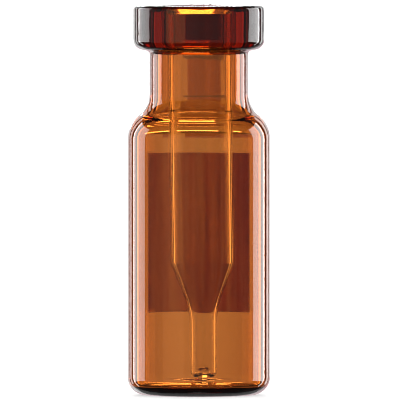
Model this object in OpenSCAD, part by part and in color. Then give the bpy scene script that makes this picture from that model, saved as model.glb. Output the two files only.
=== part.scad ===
// Sample vial of 12 x 32 mm with an 11 mm crimp finish. A tube of amber glass is
// necked in, given a thick collar for the cap and closed with a slightly pushed-up
// base. A clear glass insert with a lip and a narrow stem stands loose inside it, kept
// upright by the bore, and a white enamel patch for writing on is fired on the back.
// +Z is up, the origin is the centre of the base, and the patch faces +Y.

/* [Body] */
// Height from the base to the top of the collar
total_h = 32; // [31.5:0.1:33]
// Outside diameter of the body
body_d = 11.7; // [11.4:0.1:12]
// Thickness of the body's wall
body_wall = 0.85; // [0.7:0.05:1.1]
// Height at which the straight wall ends and the shoulder starts
straight_h = 21.05; // [20:0.05:21.5]

/* [Base] */
// Radius of the outer heel between wall and base
heel_r = 1.5; // [1.2:0.1:1.8]
// Width of the flat ring that the vial stands on
stand_w = 0.5; // [0.3:0.05:0.7]
// Height of the push-up at the middle of the underside
push_up = 0.45; // [0.3:0.05:0.5]
// Thickness of the glass at the middle of the base
base_t = 0.95; // [0.8:0.05:1]
// Rise of the inside floor from its edge to its middle
floor_rise = 0.5; // [0.35:0.05:0.6]
// Radius of the inside corner between floor and wall
floor_corner_r = 0.4; // [0.3:0.05:0.6]

/* [Neck] */
// Outside diameter of the neck
neck_d = 8.1; // [7.8:0.05:8.3]
// Diameter of the bore through collar and neck
bore_d = 6.3; // [6.1:0.05:6.5]
// Slope of the shoulder, measured from upright
shoulder_angle = 53; // [48:1:56]
// Radius of the rounded outer shoulder
shoulder_r = 2.5; // [2.2:0.1:2.9]

/* [Collar] */
// Outside diameter of the collar that the cap is crimped on
collar_d = 10.75; // [10.4:0.05:10.9]
// Height of the collar at its outer edge
collar_h = 3.5; // [3.3:0.05:3.7]
// Further drop of its underside towards the neck
under_drop = 0.3; // [0.2:0.05:0.4]
// Radius of its upper outer edge
collar_top_r = 0.35; // [0.2:0.05:0.5]
// Radius of its lower outer edge
collar_low_r = 0.8; // [0.6:0.05:1.1]
// Radius of the mouth's inner edge
mouth_r = 0.6; // [0.4:0.05:0.7]
// Radius of the corner between collar and neck
collar_root_r = 0.3; // [0.2:0.05:0.4]

/* [Insert] */
// How far its mouth stands below the vial's mouth
mouth_drop = 0.1; // [0.1:0.05:0.5]
// Outside diameter of its tube
insert_d = 5.3; // [5.1:0.05:5.5]
// Thickness of the tube's wall
insert_wall = 0.37; // [0.3:0.01:0.5]
// Outside diameter of its stem
stem_d = 2.2; // [2.1:0.05:2.4]
// Thickness of the stem's wall
stem_wall = 0.22; // [0.18:0.01:0.3]
// Height above the tip at which the tube starts to narrow
tube_z = 9.35; // [9:0.05:10]
// Half angle of the cone between tube and stem
cone_angle = 22; // [20:0.5:25]
// Radius of the outer bend from cone to stem
stem_bend_r = 6; // [4:0.5:7]
// Radius of the outer bend from tube to cone
tube_bend_r = 1.2; // [0.8:0.1:1.6]
// Radius of the tip's edge
tip_r = 0.5; // [0.4:0.05:0.6]
// Thickness of the glass at the tip
tip_t = 0.28; // [0.25:0.01:0.4]
// Radius round the bottom of the stem's bore
bore_end_r = 0.14; // [0.1:0.01:0.14]
// Diameter of the bead of glass that melting the tip shut leaves inside
bead_d = 1; // [0.8:0.05:1.05]
// Height of the bead
bead_h = 0.55; // [0.5:0.01:0.6]
// Radius of the bead's round top
bead_top_r = 0.36; // [0.3:0.01:0.38]
// Radius of the corner between the bead and the bottom of the bore
bead_root_r = 0.06; // [0.04:0.01:0.08]
// Outside diameter of the lip at its mouth
lip_d = 6.1; // [5.8:0.05:6.2]
// Slope of the lip's underside, measured from upright
lip_angle = 45; // [35:1:55]
// Height of the lip's upright edge
lip_edge = 0.2; // [0.15:0.01:0.3]
// Radius of the lip's fire-polished edges
lip_round_r = 0.09; // [0.05:0.01:0.1]
// Radius of the corner between tube and lip
lip_root_r = 0.15; // [0.1:0.05:0.3]
// How far the tip stands from the vial's axis
tip_offset = 0.42; // [0:0.02:0.5]
// How far the lip stands from the vial's axis
lip_offset = 0.05; // [0:0.01:0.05]

/* [Patch] */
// Width of the writing patch along the curve
patch_w = 11.6; // [10:0.1:12.4]
// Height of the writing patch
patch_h = 13.1; // [12:0.1:13.9]
// Height of its lower edge above the base
patch_z = 6.65; // [5:0.05:6.9]
// Thickness of the fired enamel
patch_t = 0.04; // [0.03:0.01:0.06]

/* [Hidden] */

$fn = 96;
bend_step = 6;            // degrees of turn in each facet of a bend
dome_step = 1;            // the same in a domed face, which is nearly flat
seat_gap = 0.05;          // between the insert's tip and the floor it stands on
bend_gap = 0.02;          // straight glass left between the shoulder's two bends

body_r = body_d / 2;
inner_r = body_r - body_wall;
neck_r = neck_d / 2;
bore_r = bore_d / 2;
collar_r = collar_d / 2;

// Outside of the shoulder: two opposite bends and the slope between their corners.
bend_share = tan(shoulder_angle / 2);
shoulder_run = (body_r - neck_r) / sin(shoulder_angle);
throat_r = (shoulder_run - bend_gap) / bend_share - shoulder_r;
shoulder_z = straight_h + shoulder_r * bend_share;
throat_z = shoulder_z + (body_r - neck_r) / tan(shoulder_angle);

// The inside of the shoulder runs parallel, one wall further in.
inner_run = (inner_r - bore_r) / sin(shoulder_angle);
inner_shoulder_r = shoulder_r - body_wall;
inner_throat_r = (inner_run - bend_gap) / bend_share - inner_shoulder_r;
inner_shoulder_z = shoulder_z - body_wall * bend_share;
inner_throat_z = inner_shoulder_z + (inner_r - bore_r) / tan(shoulder_angle);

// Domed floor, and a corner arc that touches both the dome and the wall.
floor_top = push_up + base_t;
corner_x = inner_r - floor_corner_r;
dome_r = (corner_x * corner_x + floor_rise * floor_rise) / (2 * floor_rise);
dome_z = floor_top - dome_r;
dome_end = asin(corner_x / (dome_r + floor_corner_r));
dome_edge = dome_r * sin(dome_end);
corner_z = dome_z + (dome_r + floor_corner_r) * cos(dome_end);

// Underside: a dome inside the ring that the vial stands on.
push_edge = body_r - heel_r - stand_w;
push_r = (push_edge * push_edge + push_up * push_up) / (2 * push_up);
push_end = asin(push_edge / push_r);

// Insert: the inner corners lie one wall inside the outer ones, measured square to
// both sides of the bend, so that the glass keeps its thickness round it.
insert_l = total_h - mouth_drop - floor_top - seat_gap;
insert_r = insert_d / 2;
tube_bore_r = insert_r - insert_wall;
stem_r = stem_d / 2;
stem_bore_r = stem_r - stem_wall;
bead_r = bead_d / 2;
cone_share = tan(cone_angle / 2);
stem_z = tube_z - (insert_r - stem_r) / tan(cone_angle);
lip_r = lip_d / 2;
lip_z = insert_l - lip_edge - (lip_r - insert_r) / tan(lip_angle);

// The insert stands on its tip and leans, so that its lip comes back to the middle.
lean = asin((tip_offset - lip_offset) / insert_l);
tip_z = floor_top + seat_gap + stem_r * sin(lean);

function unit(v) = v / norm(v);
function point(corner) = [corner[0], corner[1]];
function but_first(points) = [for (i = [1:len(points) - 1]) points[i]];
function but_last(points) = [for (i = [0:len(points) - 2]) points[i]];

// Points along an arc that starts at the angle start and turns by the angle turn.
function arc(centre, r, start, turn, step) =
    let (steps = ceil(abs(turn) / step))
    [for (i = [0:steps])
        let (a = start + turn * i / steps)
        centre + r * [cos(a), sin(a)]];

// The arc of radius r that replaces the corner b of the path a, b, c.
function bend(a, b, c, r) =
    let (
        to_a = unit(a - b),
        to_c = unit(c - b),
        half = acos(to_a * to_c) / 2,
        centre = b + unit(to_a + to_c) * r / sin(half),
        from = b + to_a * r / tan(half) - centre,
        to = b + to_c * r / tan(half) - centre,
        start = atan2(from[1], from[0]),
        turn = (atan2(to[1], to[0]) - start + 540) % 360 - 180
    )
    arc(centre, r, start, turn, bend_step);

// A path of [radius, height, bend radius] corners, with an arc in each that has one.
function bent(path) = [
    for (i = [0:len(path) - 1])
        each path[i][2] == 0
            ? [point(path[i])]
            : bend(point(path[i - 1]), point(path[i]), point(path[i + 1]), path[i][2])
];

function underside_dome() = arc([0, push_up - push_r], push_r, 90, -push_end, dome_step);
function floor_corner() = arc([corner_x, corner_z], floor_corner_r, 0, -90 - dome_end, bend_step);
function floor_dome() = arc([0, dome_z], dome_r, 90 - dome_end, dome_end, dome_step);

// Heel, wall, shoulder, neck, collar and mouth, then down the inside to the floor.
function vial_wall() = bent([
    [push_edge, 0, 0],
    [body_r, 0, heel_r],
    [body_r, shoulder_z, shoulder_r],
    [neck_r, throat_z, throat_r],
    [neck_r, total_h - collar_h - under_drop, collar_root_r],
    [collar_r, total_h - collar_h, collar_low_r],
    [collar_r, total_h, collar_top_r],
    [bore_r, total_h, mouth_r],
    [bore_r, inner_throat_z, inner_throat_r],
    [inner_r, inner_shoulder_z, inner_shoulder_r],
    [inner_r, corner_z, 0]
]);

module vial() {
    color("sienna", 0.7)
        rotate_extrude()
            polygon(concat(
                but_last(underside_dome()),
                vial_wall(),
                but_first(floor_corner()),
                but_first(floor_dome())
            ));
}

// Tip, stem, cone, tube and lip, then down the bore to the bead.
module insert_section() {
    polygon(bent([
        [0, 0, 0],
        [stem_r, 0, tip_r],
        [stem_r, stem_z, stem_bend_r],
        [insert_r, tube_z, tube_bend_r],
        [insert_r, lip_z, lip_root_r],
        [lip_r, insert_l - lip_edge, lip_round_r],
        [lip_r, insert_l, lip_round_r],
        [tube_bore_r, insert_l, lip_round_r],
        [tube_bore_r, tube_z + insert_wall * cone_share, tube_bend_r - insert_wall],
        [stem_bore_r, stem_z + stem_wall * cone_share, stem_bend_r + stem_wall],
        [stem_bore_r, tip_t, bore_end_r],
        [bead_r, tip_t, bead_root_r],
        [bead_r, tip_t + bead_h, bead_top_r],
        [0, tip_t + bead_h, 0]
    ]));
}

module insert() {
    color("azure", 0.6)
        translate([tip_offset, 0, tip_z])
            rotate([0, -lean, 0])
                rotate_extrude()
                    insert_section();
}

module writing_patch() {
    patch_turn = patch_w / body_r * 180 / PI;
    color("white")
        rotate([0, 0, 90 - patch_turn / 2])
            rotate_extrude(angle = patch_turn)
                translate([body_r, patch_z])
                    square([patch_t, patch_h]);
}

vial();
insert();
writing_patch();
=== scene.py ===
import math

import bmesh
import bpy
from mathutils import Matrix, Vector


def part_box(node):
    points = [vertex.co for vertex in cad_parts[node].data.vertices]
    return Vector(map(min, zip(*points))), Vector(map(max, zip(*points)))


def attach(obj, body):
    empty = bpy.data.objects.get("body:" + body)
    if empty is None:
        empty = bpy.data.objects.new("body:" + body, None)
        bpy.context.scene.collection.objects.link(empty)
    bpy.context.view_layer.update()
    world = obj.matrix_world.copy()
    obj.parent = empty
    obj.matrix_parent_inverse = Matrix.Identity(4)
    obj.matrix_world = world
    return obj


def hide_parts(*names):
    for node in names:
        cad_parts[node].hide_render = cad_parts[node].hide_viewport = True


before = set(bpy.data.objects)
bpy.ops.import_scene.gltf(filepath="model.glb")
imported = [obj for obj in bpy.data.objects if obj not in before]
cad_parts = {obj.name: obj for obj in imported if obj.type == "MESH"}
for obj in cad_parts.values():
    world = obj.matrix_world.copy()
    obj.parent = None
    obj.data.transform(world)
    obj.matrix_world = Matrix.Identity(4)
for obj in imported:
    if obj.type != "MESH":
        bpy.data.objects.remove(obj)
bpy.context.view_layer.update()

# ---------------------------------------------------------------------------
# Vial. One piece of amber glass tube: the top is necked in and rolled into a
# thick collar for a crimp cap, and the bottom is melted shut and pressed up a
# little in the middle. It stands on the ring round that push-up.

MM = 0.001
TURNS = 192                   # facets round a turned piece
BEND_FACETS = 24              # facets in a rounded corner
WELD_DIST = 1e-7
WIDE_FACES = 100              # how far wide faces outweigh narrow ones in the shading

vial_low, vial_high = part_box("vial")
TOTAL_H = (vial_high - vial_low).z
BODY_R = (vial_high - vial_low).x / 2
BODY_WALL = 0.85 * MM
STRAIGHT_H = 21.05 * MM       # where the wall starts to bend into the shoulder
HEEL_R = 1.5 * MM
STAND_W = 0.5 * MM            # flat width of the ring that it stands on
PUSH_UP = 0.45 * MM
BASE_T = 0.95 * MM            # glass between the push-up and the floor, in the middle
FLOOR_RISE = 0.5 * MM         # how much higher the floor's middle is than its edge
FLOOR_CORNER_R = 0.4 * MM
NECK_R = 4.05 * MM
BORE_R = 3.15 * MM
SHOULDER_ANGLE = math.radians(53)
SHOULDER_R = 2.5 * MM
COLLAR_R = 5.375 * MM
COLLAR_H = 3.5 * MM
UNDER_DROP = 0.3 * MM         # how far the collar's underside slopes down to the neck
COLLAR_TOP_R = 0.35 * MM
COLLAR_LOW_R = 0.8 * MM
MOUTH_R = 0.6 * MM
COLLAR_ROOT_R = 0.3 * MM
BEND_GAP = 0.02 * MM          # straight run between the shoulder's two bends

IOR = 1.5
AMBER = (600, 1310, 2400)     # absorption of red, green and blue per metre of glass
DENSITY_MARGIN = 1.02         # keeps the volume's colour above black in every channel
DRAW_WIDTH = 1.2 * MM         # across the faint lines that drawing leaves
DRAW_STRETCH = 0.03           # how much slower they change along the tube
DRAW_DETAIL = 3
DRAW_DEPTH = 0.0015 * MM
DRAW_TINT = (0.985, 0.975, 0.965)
DRAW_ROUGHNESS = 0.03         # where the polish is poorest
TOOL_WIDTH = 1.3 * MM         # across the chatter marks of the finishing tool
TOOL_DETAIL = 1
TOOL_DEPTH = 0.012 * MM
TOOL_FROM = 27.4 * MM         # heights where the marks start and are full
TOOL_FULL = 28.5 * MM

INNER_R = BODY_R - BODY_WALL


def shoulder(low_r, high_r, low_z, low_bend):
    """The two corners of a shoulder that bends from a wide wall to a narrow one."""
    share = math.tan(SHOULDER_ANGLE / 2)
    run = (low_r - high_r) / math.sin(SHOULDER_ANGLE)
    rise = (low_r - high_r) / math.tan(SHOULDER_ANGLE)
    high_bend = (run - BEND_GAP) / share - low_bend
    return [(low_r, low_z, low_bend), (high_r, low_z + rise, high_bend)]


def turned(name, corners, place=None):
    """A closed piece turned about Z from (radius, height, bend radius) corners, then placed."""
    mesh = bmesh.new()
    verts = [mesh.verts.new((r, 0, z)) for r, z, bend in corners]
    for pair in zip(verts, verts[1:]):
        mesh.edges.new(pair)
    reaches = []
    for last, vert, following, (r, z, bend) in zip(verts, verts[1:], verts[2:], corners[1:]):
        if bend > 0:
            half = (last.co - vert.co).angle(following.co - vert.co) / 2
            reaches.append((vert, bend / math.tan(half)))
    for vert, reach in reaches:
        bmesh.ops.bevel(
            mesh, geom=[vert], offset=reach, offset_type="OFFSET", segments=BEND_FACETS,
            profile=0.5, affect="VERTICES", material=-1)
    bmesh.ops.spin(
        mesh, geom=mesh.verts[:] + mesh.edges[:], cent=(0, 0, 0), axis=(0, 0, 1),
        angle=math.tau, steps=TURNS, use_merge=True)
    bmesh.ops.remove_doubles(mesh, verts=mesh.verts, dist=WELD_DIST)
    bmesh.ops.recalc_face_normals(mesh, faces=mesh.faces)
    if place is not None:
        bmesh.ops.transform(mesh, matrix=place, verts=mesh.verts)
    for face in mesh.faces:
        face.smooth = True
    data = bpy.data.meshes.new(name)
    mesh.to_mesh(data)
    mesh.free()
    piece = bpy.data.objects.new(name, data)
    bpy.context.collection.objects.link(piece)
    # Straight walls keep straight normals, so that only the bends turn the light.
    shading = piece.modifiers.new("straight walls", "WEIGHTED_NORMAL")
    shading.mode = "FACE_AREA"
    shading.weight = WIDE_FACES
    return piece


def add_node(tree, kind, *values, **settings):
    """A node with its settings, whose inputs in order take other nodes' outputs or values."""
    node = tree.nodes.new(kind)
    for name, setting in settings.items():
        setattr(node, name, setting)
    for socket, value in zip(node.inputs, values):
        if isinstance(value, bpy.types.NodeSocket):
            tree.links.new(value, socket)
        else:
            socket.default_value = value
    return node


def maths(tree, operation, *values):
    """A sum on other nodes' values."""
    return add_node(tree, "ShaderNodeMath", *values, operation=operation).outputs["Value"]


def spread(tree, value, low, high, start=0, end=1):
    """A value that goes from low to high as another goes from start to end."""
    return add_node(tree, "ShaderNodeMapRange", value, start, end, low, high).outputs["Result"]


def place_on(tree, axis):
    """How far along one of the piece's own axes the surface lies."""
    place = add_node(tree, "ShaderNodeTexCoord").outputs["Object"]
    return add_node(tree, "ShaderNodeSeparateXYZ", place).outputs[axis]


def noise(tree, width, detail, pace=1):
    """A noise with spots of some width. Pace is how fast it changes along Z beside across."""
    place = add_node(tree, "ShaderNodeTexCoord").outputs["Object"]
    mapping = add_node(tree, "ShaderNodeMapping", place)
    mapping.inputs["Scale"].default_value = (1, 1, pace)
    texture = add_node(tree, "ShaderNodeTexNoise", mapping.outputs["Vector"])
    texture.inputs["Scale"].default_value = 1 / width
    texture.inputs["Detail"].default_value = detail
    return texture.outputs["Fac"]


def shade(tree, value, low, high):
    """A colour that goes from low to high as a value goes from 0 to 1."""
    ramp = add_node(tree, "ShaderNodeValToRGB", value)
    ramp.color_ramp.elements[0].color = (*low, 1)
    ramp.color_ramp.elements[1].color = (*high, 1)
    return ramp.outputs["Color"]


def relief(tree, height, depth, under=None):
    """The lean of a surface with marks of some depth, on top of marks under them."""
    bump = add_node(tree, "ShaderNodeBump")
    bump.inputs["Distance"].default_value = depth
    tree.links.new(height, bump.inputs["Height"])
    if under is not None:
        tree.links.new(under, bump.inputs["Normal"])
    return bump.outputs["Normal"]


def glass(name, absorb, draw_depth):
    """Polished glass with faint lines up and down it, which drawing the tube leaves."""
    material = bpy.data.materials.new(name)
    material.use_nodes = True
    tree = material.node_tree
    volume = add_node(tree, "ShaderNodeVolumeAbsorption")
    density = max(absorb) * DENSITY_MARGIN
    volume.inputs["Density"].default_value = density
    volume.inputs["Color"].default_value = (*[1 - share / density for share in absorb], 1)
    tree.links.new(volume.outputs["Volume"], tree.nodes["Material Output"].inputs["Volume"])

    shader = tree.nodes["Principled BSDF"]
    shader.inputs["IOR"].default_value = IOR
    shader.inputs["Transmission Weight"].default_value = 1.0
    lines = noise(tree, DRAW_WIDTH, DRAW_DETAIL, DRAW_STRETCH)
    tree.links.new(shade(tree, lines, DRAW_TINT, (1, 1, 1)), shader.inputs["Base Color"])
    tree.links.new(spread(tree, lines, 0, DRAW_ROUGHNESS), shader.inputs["Roughness"])
    tree.links.new(relief(tree, lines, draw_depth), shader.inputs["Normal"])
    return material


def add_tool_marks(material):
    """Shallow chatter marks round the collar, from the tool that rolls it."""
    tree = material.node_tree
    chatter = noise(tree, TOOL_WIDTH, TOOL_DETAIL)
    reach = spread(tree, place_on(tree, "Z"), 0, 1, TOOL_FROM, TOOL_FULL)
    marks = maths(tree, "MULTIPLY", chatter, reach)
    normal = tree.nodes["Principled BSDF"].inputs["Normal"]
    drawn = normal.links[0].from_socket
    tree.links.new(relief(tree, marks, TOOL_DEPTH, drawn), normal)


base_edge = BODY_R - HEEL_R - STAND_W
underside_r = (base_edge ** 2 + PUSH_UP ** 2) / (2 * PUSH_UP)
underside_end = math.asin(base_edge / underside_r)
corner_x = INNER_R - FLOOR_CORNER_R
floor_r = (corner_x ** 2 + FLOOR_RISE ** 2) / (2 * FLOOR_RISE)
floor_end = math.asin(corner_x / (floor_r + FLOOR_CORNER_R))
floor_edge = floor_r * math.sin(floor_end)
floor_edge_z = PUSH_UP + BASE_T - floor_r * (1 - math.cos(floor_end))
shoulder_share = math.tan(SHOULDER_ANGLE / 2)
outer_shoulder_z = STRAIGHT_H + SHOULDER_R * shoulder_share
inner_shoulder_z = outer_shoulder_z - BODY_WALL * shoulder_share

vial = turned("amber_vial", [
    (0, PUSH_UP, 0),
    (underside_r * math.tan(underside_end / 2), PUSH_UP, underside_r),
    (base_edge, 0, 0),
    (BODY_R, 0, HEEL_R),
    *shoulder(BODY_R, NECK_R, outer_shoulder_z, SHOULDER_R),
    (NECK_R, TOTAL_H - COLLAR_H - UNDER_DROP, COLLAR_ROOT_R),
    (COLLAR_R, TOTAL_H - COLLAR_H, COLLAR_LOW_R),
    (COLLAR_R, TOTAL_H, COLLAR_TOP_R),
    (BORE_R, TOTAL_H, MOUTH_R),
    *reversed(shoulder(INNER_R, BORE_R, inner_shoulder_z, SHOULDER_R - BODY_WALL)),
    (INNER_R, floor_edge_z - (INNER_R - floor_edge) * math.tan(floor_end), FLOOR_CORNER_R),
    (floor_r * math.tan(floor_end / 2), PUSH_UP + BASE_T, floor_r),
    (0, PUSH_UP + BASE_T, 0),
])
amber_glass = glass("amber glass", AMBER, DRAW_DEPTH)
add_tool_marks(amber_glass)
vial.data.materials.append(amber_glass)
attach(vial, "root")
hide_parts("vial")

# ---------------------------------------------------------------------------
# Insert. Clear glass tube with a lip upset at its mouth, drawn down to a stem and
# melted shut at the tip, so that a very small sample can be reached. It stands
# loose on the vial's floor, and the lip keeps it upright in the bore.

INSERT_L = 30.45 * MM
INSERT_R = 2.65 * MM
INSERT_WALL = 0.37 * MM
STEM_R = 1.1 * MM
STEM_WALL = 0.22 * MM
TUBE_Z = 9.35 * MM            # where the cone meets the tube, from the tip
CONE_ANGLE = math.radians(22)  # from the axis
STEM_BEND_R = 6.0 * MM
TUBE_BEND_R = 1.2 * MM
TIP_R = 0.5 * MM
TIP_T = 0.28 * MM             # glass under the end of the bore
BORE_END_R = 0.14 * MM
BEAD_R = 0.5 * MM             # drop of glass left in the bore when the tip is melted shut
BEAD_H = 0.55 * MM
BEAD_TOP_R = 0.36 * MM
BEAD_ROOT_R = 0.06 * MM
LIP_R = 3.05 * MM
LIP_ANGLE = math.radians(45)
LIP_EDGE = 0.2 * MM           # height of the lip's straight edge
LIP_ROUND_R = 0.09 * MM
LIP_ROOT_R = 0.15 * MM
TIP_OFFSET = 0.42 * MM        # how far the tip and the lip stand from the vial's axis
LIP_OFFSET = 0.05 * MM
SEAT_GAP = 0.05 * MM

CLEAR = (12, 8, 14)           # absorption, as for the amber
INSERT_DRAW_DEPTH = 0.001 * MM

tube_bore_r = INSERT_R - INSERT_WALL
stem_bore_r = STEM_R - STEM_WALL
cone_turn = math.tan(CONE_ANGLE / 2)
stem_z = TUBE_Z - (INSERT_R - STEM_R) / math.tan(CONE_ANGLE)
lip_z = INSERT_L - LIP_EDGE - (LIP_R - INSERT_R) / math.tan(LIP_ANGLE)
lean = math.asin((TIP_OFFSET - LIP_OFFSET) / INSERT_L)
stand = (
    Matrix.Translation((TIP_OFFSET, 0, PUSH_UP + BASE_T + SEAT_GAP + STEM_R * math.sin(lean)))
    @ Matrix.Rotation(-lean, 4, "Y"))

insert = turned("clear_insert", [
    (0, 0, 0),
    (STEM_R, 0, TIP_R),
    (STEM_R, stem_z, STEM_BEND_R),
    (INSERT_R, TUBE_Z, TUBE_BEND_R),
    (INSERT_R, lip_z, LIP_ROOT_R),
    (LIP_R, INSERT_L - LIP_EDGE, LIP_ROUND_R),
    (LIP_R, INSERT_L, LIP_ROUND_R),
    (tube_bore_r, INSERT_L, LIP_ROUND_R),
    (tube_bore_r, TUBE_Z + INSERT_WALL * cone_turn, TUBE_BEND_R - INSERT_WALL),
    (stem_bore_r, stem_z + STEM_WALL * cone_turn, STEM_BEND_R + STEM_WALL),
    (stem_bore_r, TIP_T, BORE_END_R),
    (BEAD_R, TIP_T, BEAD_ROOT_R),
    (BEAD_R, TIP_T + BEAD_H, BEAD_TOP_R),
    (0, TIP_T + BEAD_H, 0),
], stand)
insert.data.materials.append(glass("clear glass", CLEAR, INSERT_DRAW_DEPTH))
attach(insert, "root")
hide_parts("insert")

# ---------------------------------------------------------------------------
# Writing patch. White enamel screened onto the back of the wall and fired, thin
# enough for strong light to come through.

PATCH_W = 11.6 * MM           # along the wall's curve
PATCH_LIFT = 0.006 * MM       # keeps it clear of the wall
PATCH_STEPS = 64
patch_low, patch_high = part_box("writing_patch")
PATCH_T = patch_high.y - BODY_R

PAINT_LOW = (0.78, 0.76, 0.72)
PAINT_HIGH = (0.9, 0.89, 0.87)
GRAIN_WIDTH = 0.35 * MM
GRAIN_DETAIL = 4
GRAIN_DEPTH = 0.004 * MM
SMOOTHEST = 0.48              # roughness of the enamel
ROUGHEST = 0.62
STREAK_WIDTH = 0.55 * MM      # across the streaks that the squeegee leaves
STREAK_STRETCH = 0.04         # how much slower they change up the patch
STREAK_DETAIL = 3
STREAK_SHARE = 2.4            # how much they count beside the slope from side to side
THIN_SIDE = -4 * MM           # the enamel grows thicker from this side
THICK_SIDE = 6 * MM           # to this one
THIN_SHARE = -1.0             # what each side adds to the streaks
THICK_SHARE = -0.35
THIN_GLOW = (0.99, 0.77, 0.6)
THICK_GLOW = (0.74, 0.34, 0.26)
LET_THROUGH = 0.55            # share of the light that goes through and doesn't turn back

patch_turn = PATCH_W / BODY_R

mesh = bmesh.new()
edge = [mesh.verts.new((BODY_R + PATCH_LIFT, 0, z)) for z in (patch_low.z, patch_high.z)]
edge += [mesh.verts.new((BODY_R + PATCH_T, 0, z)) for z in (patch_high.z, patch_low.z)]
mesh.faces.new(edge)
bmesh.ops.rotate(
    mesh, verts=mesh.verts, cent=(0, 0, 0),
    matrix=Matrix.Rotation(math.pi / 2 - patch_turn / 2, 3, "Z"))
bmesh.ops.spin(
    mesh, geom=mesh.faces[:], cent=(0, 0, 0), axis=(0, 0, 1), angle=patch_turn,
    steps=PATCH_STEPS)
bmesh.ops.recalc_face_normals(mesh, faces=mesh.faces)
data = bpy.data.meshes.new("white_patch")
mesh.to_mesh(data)
mesh.free()
patch = bpy.data.objects.new("white_patch", data)
bpy.context.collection.objects.link(patch)


def enamel():
    """Fired white enamel: matt and grainy, with light from behind coming through it.

    The squeegee lays it in streaks, and thicker towards one side.
    """
    material = bpy.data.materials.new("white enamel")
    material.use_nodes = True
    tree = material.node_tree
    shader = tree.nodes["Principled BSDF"]
    grain = noise(tree, GRAIN_WIDTH, GRAIN_DETAIL)
    tree.links.new(shade(tree, grain, PAINT_LOW, PAINT_HIGH), shader.inputs["Base Color"])
    tree.links.new(spread(tree, grain, SMOOTHEST, ROUGHEST), shader.inputs["Roughness"])
    tree.links.new(relief(tree, grain, GRAIN_DEPTH), shader.inputs["Normal"])

    streaks = noise(tree, STREAK_WIDTH, STREAK_DETAIL, STREAK_STRETCH)
    side = spread(tree, place_on(tree, "X"), THIN_SHARE, THICK_SHARE, THIN_SIDE, THICK_SIDE)
    thickness = maths(tree, "MULTIPLY_ADD", streaks, STREAK_SHARE, side)
    glow = shade(tree, thickness, THIN_GLOW, THICK_GLOW)
    through = add_node(tree, "ShaderNodeBsdfTranslucent", glow)
    both = add_node(
        tree, "ShaderNodeMixShader", LET_THROUGH, shader.outputs["BSDF"], through.outputs["BSDF"])
    tree.links.new(both.outputs["Shader"], tree.nodes["Material Output"].inputs["Surface"])
    return material


patch.data.materials.append(enamel())
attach(patch, "root")
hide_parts("writing_patch")

# ---------------------------------------------------------------------------
# Studio. A plain white floor that glows a little, so that it stays white, and two
# dim glowing cards behind the neck that only the glass sees: painted shade that
# darkens the neck and collar. The lit backdrop and the soft panels round the vial
# are far off, so the world holds them.

FLOOR_SIZE = 4.0
FLOOR_PAINT = (0.4, 0.4, 0.4)
FLOOR_GLOW = 0.6
FLOOR_ROUGHNESS = 0.9
floor_mesh = bpy.data.meshes.new("floor")
mesh = bmesh.new()
bmesh.ops.create_grid(mesh, x_segments=1, y_segments=1, size=FLOOR_SIZE / 2)
mesh.to_mesh(floor_mesh)
mesh.free()
floor = bpy.data.objects.new("floor", floor_mesh)
bpy.context.collection.objects.link(floor)
floor_material = bpy.data.materials.new("white floor")
floor_material.use_nodes = True
floor_shader = floor_material.node_tree.nodes["Principled BSDF"]
floor_shader.inputs["Base Color"].default_value = (*FLOOR_PAINT, 1)
floor_shader.inputs["Emission Color"].default_value = (1, 1, 1, 1)
floor_shader.inputs["Emission Strength"].default_value = FLOOR_GLOW
floor_shader.inputs["Roughness"].default_value = FLOOR_ROUGHNESS
floor.data.materials.append(floor_material)
floor.visible_glossy = False
floor.visible_transmission = False

SHADE_CARD_BEHIND = 125 * MM        # from the vial's axis
SHADE_CARDS_MEET = 26.4 * MM        # height where the low one ends and the high one starts
# Glow of the two cards: painted shade, seen through the neck and collar
LOW_SHADE_TONE = (0.87, 0.62, 0.7)
HIGH_SHADE_TONE = (0.48, 0.5, 0.5)


def shade_card(name, left, right, low, high, tone):
    """A dim glowing sheet behind the neck, which only the glass sees: painted shade that deepens
    the glass there.
    """
    mesh = bmesh.new()
    corners = [(left, low), (right, low), (right, high), (left, high)]
    mesh.faces.new([mesh.verts.new((x, SHADE_CARD_BEHIND, z)) for x, z in corners])
    data = bpy.data.meshes.new(name)
    mesh.to_mesh(data)
    mesh.free()
    sheet = bpy.data.objects.new(name, data)
    bpy.context.collection.objects.link(sheet)
    sheet.visible_camera = False
    sheet.visible_diffuse = False
    sheet.visible_shadow = False
    material = bpy.data.materials.new(name)
    material.use_nodes = True
    shader = material.node_tree.nodes["Principled BSDF"]
    shader.inputs["Base Color"].default_value = (0, 0, 0, 1)
    shader.inputs["Specular IOR Level"].default_value = 0.0
    shader.inputs["Emission Color"].default_value = (*tone, 1)
    shader.inputs["Emission Strength"].default_value = 1.0
    data.materials.append(material)


shade_card("low shade card", -13.5 * MM, 33 * MM, 19.1 * MM, SHADE_CARDS_MEET, LOW_SHADE_TONE)
shade_card("high shade card", -21 * MM, 50 * MM, SHADE_CARDS_MEET, 29.9 * MM, HIGH_SHADE_TONE)

PLAIN_WHITE = 1.3             # what the camera and all that isn't glass see
EDGE_SOFTNESS = 0.8           # degrees over which a panel's edge fades
WARM = (1.0, 0.45, 0.15)
DEEPEN = (1, 1.5, 1.4)        # what is taken off the backdrop low down, most from green
TOP = 27                      # degrees up to the upper edge of the backdrop and panels
SIDE_FOOT = -12               # the lower edge of the side panels
STRIP_FOOT = -15
BACKDROP_FOOT = -26
ROOM_GLOW = (0.05, 0.05, 0.05)

world = bpy.data.worlds.new("studio")
bpy.context.scene.world = world
world.use_nodes = True
sky = world.node_tree

direction = add_node(sky, "ShaderNodeTexCoord").outputs["Generated"]
parts = add_node(sky, "ShaderNodeSeparateXYZ", direction)
azimuth = maths(sky, "DEGREES", maths(sky, "ARCTAN2", parts.outputs["X"], parts.outputs["Y"]))
elevation = maths(sky, "DEGREES", maths(sky, "ARCSINE", parts.outputs["Z"]))


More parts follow.
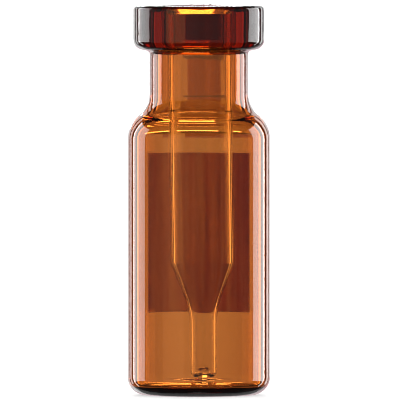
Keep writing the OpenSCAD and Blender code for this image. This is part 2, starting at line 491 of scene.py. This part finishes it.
def window(angle, start, end):
    """1 where an angle of the sky lies between start and end, and 0 outside."""
    soft = EDGE_SOFTNESS / 2
    opens = spread(sky, angle, 0, 1, start - soft, start + soft)
    shuts = spread(sky, angle, 1, 0, end - soft, end + soft)
    return maths(sky, "MULTIPLY", opens, shuts)


def lit(radiance, turn_from, turn_to, rise_from, rise_to, tint=(1, 1, 1)):
    """A panel between two azimuths and two elevations. Azimuth 0 is behind the vial."""
    across = window(azimuth, turn_from, turn_to)
    up = window(elevation, rise_from, rise_to)
    color = [radiance * share for share in tint]
    area = maths(sky, "MULTIPLY", across, up)
    panel = add_node(sky, "ShaderNodeVectorMath", color, area, operation="MULTIPLY")
    return panel.outputs["Vector"]


panels = [
    # Backdrop, with a strip beyond a gap on each side of it.
    lit(1.3, -28, 24, BACKDROP_FOOT, TOP),
    lit(-0.4, -11, 24, BACKDROP_FOOT, -2.6, DEEPEN),
    lit(2.1, -39.5, -32.5, STRIP_FOOT, TOP),
    lit(2.4, 28, 37, STRIP_FOOT, TOP),
    # Bright narrow strips, dimmer at the foot, and the wide side panels next to them.
    lit(8.0, -50.5, -46.5, SIDE_FOOT, TOP),
    lit(4.0, -50.5, -46.5, BACKDROP_FOOT, SIDE_FOOT),
    lit(8.0, 46, 50.5, SIDE_FOOT, TOP),
    lit(4.0, 46, 50.5, BACKDROP_FOOT, SIDE_FOOT),
    lit(3.8, -82, -50.5, SIDE_FOOT, TOP),
    lit(4.5, 50.5, 68, SIDE_FOOT, TOP),
    lit(5.0, 68, 81, SIDE_FOOT, TOP),
    # Lamps in front of the backdrop: a wide one high up, and a thin line.
    lit(18.0, -15, 7, 15, TOP),
    lit(18.0, -15, 7, 3.9, 4.6),
    # The dim front of the room with a warm lamp in it, and the floor under the backdrop.
    lit(0.2, 82, 182, -20, 20),
    lit(0.25, -182, -84, -20, 20),
    lit(0.8, -156, -120, -30, TOP, WARM),
    lit(0.3, -35, 35, -90, -15.5),
]
room = ROOM_GLOW
for panel in panels:
    room = add_node(
        sky, "ShaderNodeVectorMath", room, panel, operation="ADD").outputs["Vector"]

rays = add_node(sky, "ShaderNodeLightPath").outputs
is_plain = maths(sky, "MAXIMUM", rays["Is Camera Ray"], rays["Is Diffuse Ray"])
for_glass = add_node(sky, "ShaderNodeBackground", room, 1.0)
for_rest = add_node(sky, "ShaderNodeBackground", (1, 1, 1, 1), PLAIN_WHITE)
shown = add_node(
    sky, "ShaderNodeMixShader", is_plain,
    for_glass.outputs["Background"], for_rest.outputs["Background"])
sky.links.new(shown.outputs["Shader"], sky.nodes["World Output"].inputs["Surface"])

# ---------------------------------------------------------------------------
# Camera. Nearly level and far off on a long lens, placed so that the vial's axis
# and base fall on set pixels of the render.

PIXELS = 400                  # width and height of the render
PIXELS_PER_M = 12190          # at the vial's axis
CAMERA_FAR = 1.5
CAMERA_UP = math.radians(1.75)
AXIS_PIXEL = 198.8            # where the vial's axis falls in the render, from the left
BASE_PIXEL = 395.0            # where its base falls, from the top
CLIP_START = 0.01
CLIP_END = 20
GLASS_BOUNCES = 32            # light crosses eight glass faces, and some turns back inside
GLOSSY_BOUNCES = 16
FILTER_WIDTH = 1.0            # in pixels

camera_data = bpy.data.cameras.new("camera")
camera = bpy.data.objects.new("camera", camera_data)
bpy.context.collection.objects.link(camera)
bpy.context.scene.camera = camera
half = PIXELS / 2
aim = Vector(((half - AXIS_PIXEL) / PIXELS_PER_M, 0, (BASE_PIXEL - half) / PIXELS_PER_M))
back = Vector((0, -math.cos(CAMERA_UP), math.sin(CAMERA_UP)))
camera.location = aim + back * CAMERA_FAR
camera.rotation_mode = "QUATERNION"
camera.rotation_quaternion = (-back).to_track_quat("-Z", "Y")
camera_data.lens = camera_data.sensor_width * CAMERA_FAR * PIXELS_PER_M / PIXELS
camera_data.clip_start = CLIP_START
camera_data.clip_end = CLIP_END

view = bpy.context.scene.view_settings
view.view_transform = "Standard"
cycles = bpy.context.scene.cycles
cycles.max_bounces = GLASS_BOUNCES
cycles.transmission_bounces = GLASS_BOUNCES
cycles.glossy_bounces = GLOSSY_BOUNCES
cycles.use_denoising = True
cycles.filter_width = FILTER_WIDTH
